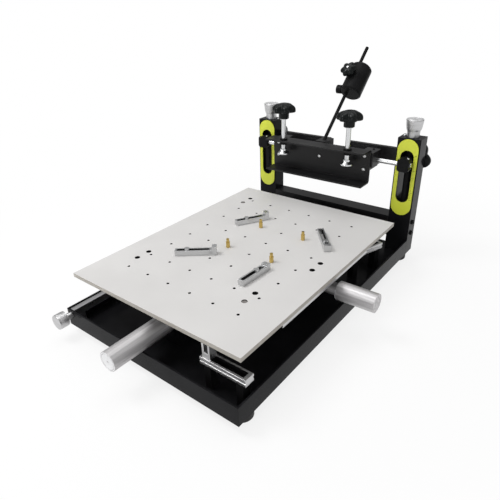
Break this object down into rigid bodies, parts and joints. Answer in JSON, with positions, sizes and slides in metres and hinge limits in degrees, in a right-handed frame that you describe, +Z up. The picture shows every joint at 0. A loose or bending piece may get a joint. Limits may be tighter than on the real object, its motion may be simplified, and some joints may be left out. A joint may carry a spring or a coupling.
{
  "type": "screen printing table",
  "caption": "Benchtop manual stencil printing table: adjustable perforated platen over a base tray, and a hinged clamp arm with counterweight on slotted uprights.",
  "frame": {"origin": "centre of the base's footprint, on the table top that the rubber feet stand on", "axes": "+Z up, +Y towards the uprights at the rear, +X to the operator's right"},
  "size_m": [0.3685, 0.6482, 0.3365],
  "materials": {
    "black_paint": "gloss black powder coat",
    "rubber": "matt moulded rubber",
    "scale": "satin yellow green",
    "ground_steel": "ground and plated",
    "aluminium": "drawn, satin",
    "turned_aluminium": "turned, brushed round",
    "black_oxide": "semi-gloss black oxide",
    "black_plastic": "moulded black",
    "dark_plate": "satin dark grey",
    "platen": "off-white powder coat",
    "brass": "turned",
    "nickel_steel": "nickel plated"
  },
  "bodies": {
    "base": {"base_tray": "black_paint", "feet": "rubber", "upright_left": "black_paint", "upright_right": "black_paint", "scale_plate_left": "scale", "scale_plate_right": "scale", "lower_cross_beam": "black_paint", "upper_cross_bar": "black_paint", "long_guides": "ground_steel", "screw_pedestal": "black_paint", "rotation_bar": "aluminium", "front_rest_bar": "aluminium", "rear_rest_bar": "aluminium"},
    "height_screw_left": {"height_knob_left": "turned_aluminium"},
    "height_screw_right": {"height_knob_right": "turned_aluminium"},
    "carriage": {"hinge_shaft": "ground_steel", "bearing_block_left": "black_oxide", "bearing_block_right": "black_oxide", "lock_knob_left": "black_plastic", "lock_knob_right": "black_plastic"},
    "arm": {"clamp_arm": "black_paint", "hinge_lugs": "black_paint", "counterweight_rod": "black_oxide", "clamp_nuts": "black_oxide"},
    "clamp_left": {"clamp_screw_left": "ground_steel", "clamp_star_left": "black_plastic", "clamp_pad_left": "ground_steel"},
    "clamp_right": {"clamp_screw_right": "ground_steel", "clamp_star_right": "black_plastic", "clamp_pad_right": "ground_steel"},
    "weight": {"counterweight": "black_oxide", "weight_star_knob": "black_plastic", "weight_set_screw": "black_oxide"},
    "stage": {"stage_plate": "dark_plate", "cross_guides": "ground_steel"},
    "long_screw": {"long_knob": "turned_aluminium"},
    "cross_screw": {"cross_knob": "turned_aluminium"},
    "turning_screw": {"rotation_knob": "turned_aluminium"},
    "cross_slide": {"cross_slide_plate": "dark_plate"},
    "table": {"platen": "platen", "turntable_plate": "aluminium", "locating_pins": "brass", "board_clamps": "nickel_steel", "board_clamp_screws": "nickel_steel"}
  },
  "joints": [
    {"name": "height_turn_left", "type": "hinge", "parent": "base", "child": "height_screw_left", "pos_m": [-0.139, 0.235, 0.22], "axis": [0, 0, 1], "continuous": true},
    {"name": "height_turn_right", "type": "hinge", "parent": "base", "child": "height_screw_right", "pos_m": [0.139, 0.235, 0.22], "axis": [0, 0, 1], "continuous": true},
    {"name": "carriage_lift", "type": "slide", "parent": "base", "child": "carriage", "axis": [0, 0, 1], "range_m": [-0.043, 0.005]},
    {"name": "arm_tilt", "type": "hinge", "parent": "carriage", "child": "arm", "pos_m": [-0.006, 0.2125, 0.176], "axis": [-1, 0, 0], "range_deg": [0, 55]},
    {"name": "clamp_travel_left", "type": "slide", "parent": "arm", "child": "clamp_left", "axis": [0, 0, 1], "range_m": [-0.02, 0.004]},
    {"name": "clamp_travel_right", "type": "slide", "parent": "arm", "child": "clamp_right", "axis": [0, 0, 1], "range_m": [-0.02, 0.004]},
    {"name": "weight_travel", "type": "slide", "parent": "arm", "child": "weight", "axis": [0, -0.7278, -0.6858], "range_m": [-0.022, 0.036]},
    {"name": "stage_travel", "type": "slide", "parent": "base", "child": "stage", "axis": [0, 1, 0], "range_m": [-0.008, 0.008]},
    {"name": "long_screw_turn", "type": "hinge", "parent": "base", "child": "long_screw", "pos_m": [0, -0.25, 0.054], "axis": [0, -1, 0], "continuous": true},
    {"name": "cross_screw_turn", "type": "hinge", "parent": "stage", "child": "cross_screw", "pos_m": [0.15, -0.014, 0.06], "axis": [1, 0, 0], "continuous": true},
    {"name": "turning_screw_turn", "type": "hinge", "parent": "base", "child": "turning_screw", "pos_m": [-0.15, -0.26, 0.031], "axis": [0, -1, 0], "continuous": true},
    {"name": "cross_travel", "type": "slide", "parent": "stage", "child": "cross_slide", "axis": [1, 0, 0], "range_m": [-0.008, 0.008]},
    {"name": "table_turn", "type": "hinge", "parent": "cross_slide", "child": "table", "pos_m": [0, -0.031, 0.08], "axis": [0, 0, 1], "range_deg": [-2, 2]}
  ]
}
